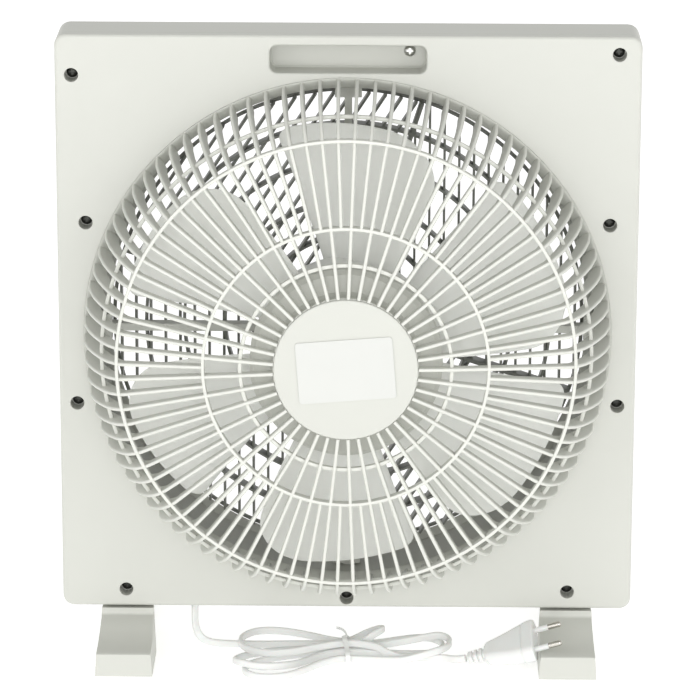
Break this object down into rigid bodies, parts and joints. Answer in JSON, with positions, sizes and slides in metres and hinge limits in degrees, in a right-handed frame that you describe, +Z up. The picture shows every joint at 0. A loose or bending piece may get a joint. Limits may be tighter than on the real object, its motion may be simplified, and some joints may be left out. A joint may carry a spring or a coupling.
{
  "type": "box fan",
  "caption": "Square table-top box fan on two feet, with a domed rear guard, a six-bladed impeller, a turning front louvre wheel, two knobs and a tied mains lead.",
  "frame": {"origin": "on the floor, under the middle of the fan's own box, without the mains lead and what is on it", "axes": "+Z up, +Y out of the rear guard (air inlet), -Y out of the front louvre (air outlet), +X to the right as seen from the front"},
  "size_m": [0.39, 0.1868, 0.434],
  "materials": {
    "shell": "satin moulded",
    "blade": "satin moulded",
    "louvre": "satin moulded",
    "knob": "satin moulded",
    "label": "printed film, left blank",
    "cord": "smooth PVC",
    "tie": "smooth",
    "zinc": "zinc plated",
    "steel": "ground",
    "casting": "die cast",
    "lamination": "stacked sheet",
    "copper": "enamelled wire",
    "plug_pin": "nickel plated, sleeved at the root",
    "black": "moulded"
  },
  "bodies": {
    "housing": {"bearing_front": "steel", "bearing_rear": "steel", "cord_gland": "cord", "cord_tie": "tie", "foot_left": "shell", "foot_right": "shell", "foot_screw_1": "zinc", "foot_screw_2": "zinc", "foot_screw_3": "zinc", "foot_screw_4": "zinc", "front_housing": "shell", "housing_screw_1": "zinc", "housing_screw_2": "zinc", "housing_screw_3": "zinc", "housing_screw_4": "zinc", "housing_screw_5": "zinc", "housing_screw_6": "zinc", "housing_screw_7": "zinc", "housing_screw_8": "zinc", "housing_screw_9": "zinc", "louvre_bracket": "shell", "louvre_gear_motor": "black", "louvre_switch": "black", "motor_cap": "shell", "motor_front_bell": "casting", "motor_mount": "shell", "motor_rear_bell": "casting", "motor_screw_1": "zinc", "motor_screw_2": "zinc", "motor_screw_3": "zinc", "motor_screw_4": "zinc", "motor_stator": "lamination", "plug_body": "cord", "plug_pin_a": "plug_pin", "plug_pin_b": "plug_pin", "power_cord_hank": "cord", "power_cord_lead": "cord", "power_cord_tail": "cord", "rating_label": "label", "rear_guard": "shell", "rear_shell": "shell", "recess_screw": "zinc", "run_capacitor": "black", "speed_switch": "black", "timer_switch": "black", "winding_front": "copper", "winding_rear": "copper"},
    "impeller": {"impeller": "blade", "impeller_nut": "knob", "motor_shaft": "steel", "motor_rotor": "lamination"},
    "louvre": {"louvre_wheel": "louvre", "louvre_cap": "shell", "louvre_shaft": "steel"},
    "speed_knob": {"speed_knob": "knob", "speed_spindle": "steel"},
    "timer_knob": {"timer_knob": "knob", "timer_spindle": "steel"},
    "louvre_rocker": {"louvre_rocker": "knob"}
  },
  "joints": [
    {"name": "fan_spin", "type": "hinge", "parent": "housing", "child": "impeller", "pos_m": [0, 0, 0.2276], "axis": [0, 1, 0], "continuous": true},
    {"name": "louvre_spin", "type": "hinge", "parent": "housing", "child": "louvre", "pos_m": [0, 0, 0.2276], "axis": [0, 1, 0], "continuous": true},
    {"name": "speed_turn", "type": "hinge", "parent": "housing", "child": "speed_knob", "pos_m": [0.15, 0, 0.39], "axis": [0, 1, 0], "range_deg": [0, 135]},
    {"name": "timer_turn", "type": "hinge", "parent": "housing", "child": "timer_knob", "pos_m": [-0.15, 0, 0.39], "axis": [0, 1, 0], "range_deg": [0, 300]},
    {"name": "rocker_tip", "type": "hinge", "parent": "housing", "child": "louvre_rocker", "pos_m": [0, -0.0439, 0.419], "axis": [1, 0, 0], "range_deg": [-20, 0]}
  ]
}
